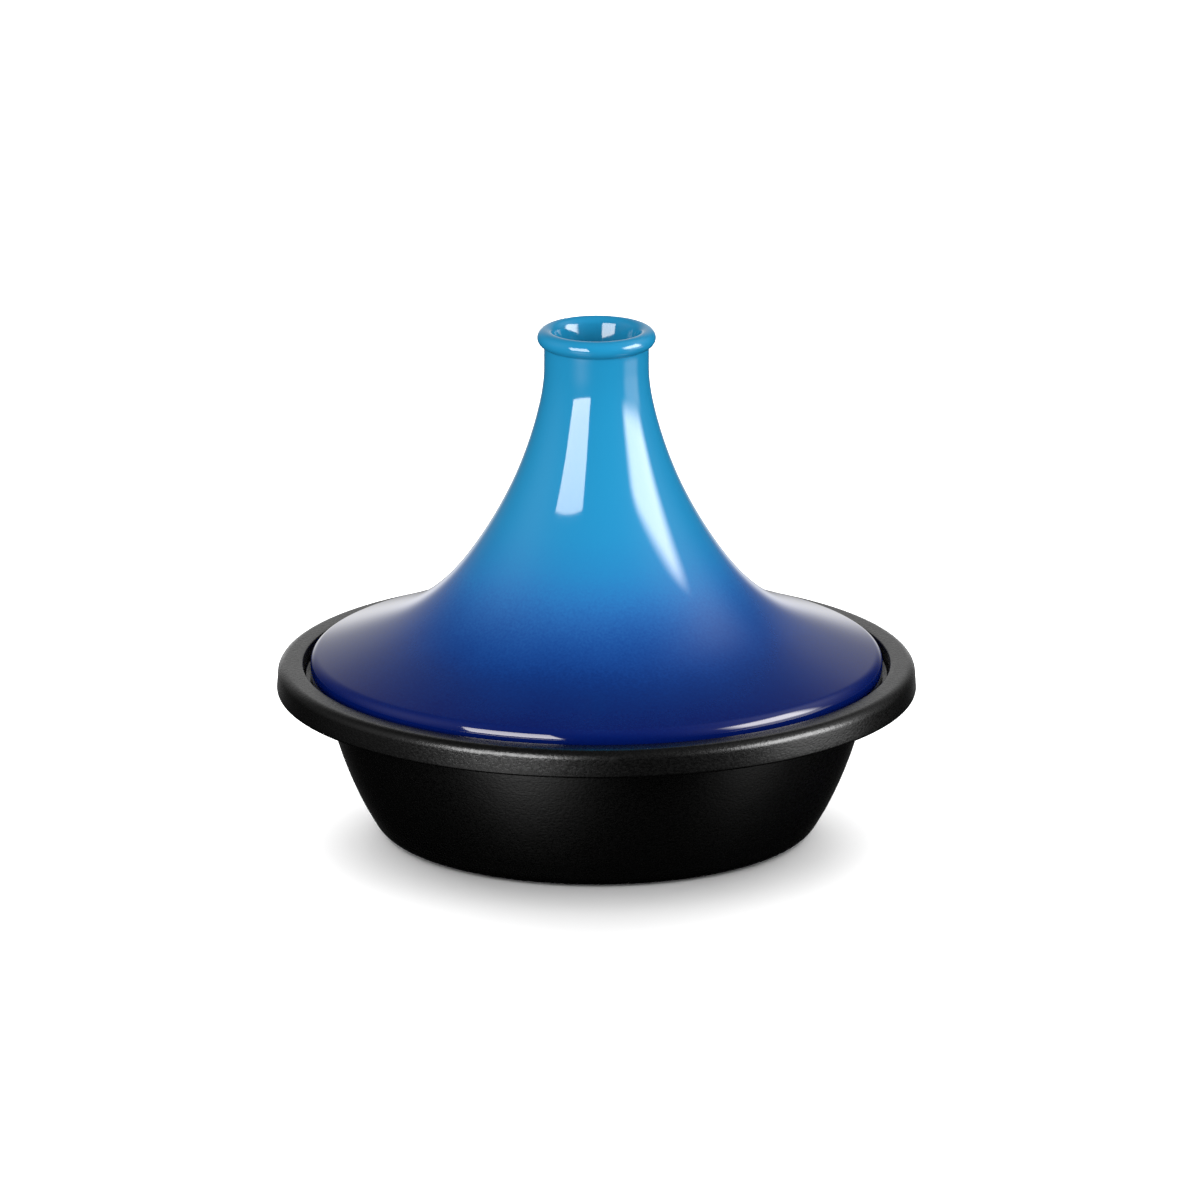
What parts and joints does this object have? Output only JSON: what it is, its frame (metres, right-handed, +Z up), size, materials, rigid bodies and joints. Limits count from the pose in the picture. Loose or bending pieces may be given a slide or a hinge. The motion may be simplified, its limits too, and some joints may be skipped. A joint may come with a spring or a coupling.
{
  "type": "tagine pot",
  "caption": "Round cooking pot with a shallow iron pan, a stepped rim, and a tall conical glazed lid that ends in a hollow rolled neck and lifts straight off.",
  "frame": {"origin": "centre of the base's underside, on the surface that the pot stands on", "axes": "+Z up the pot's axis, from the base to the lid's neck; the pot is round, so X and Y are any two level directions"},
  "size_m": [0.2698, 0.2698, 0.2172],
  "materials": {
    "black_enamelled_iron": "satin",
    "blue_glazed_stoneware": "gloss"
  },
  "bodies": {
    "base": {"base": "black_enamelled_iron"},
    "lid": {"lid": "blue_glazed_stoneware"}
  },
  "joints": [
    {"name": "lid_lift", "type": "slide", "parent": "base", "child": "lid", "axis": [0, 0, 1], "range_m": [0, 0.25]}
  ]
}
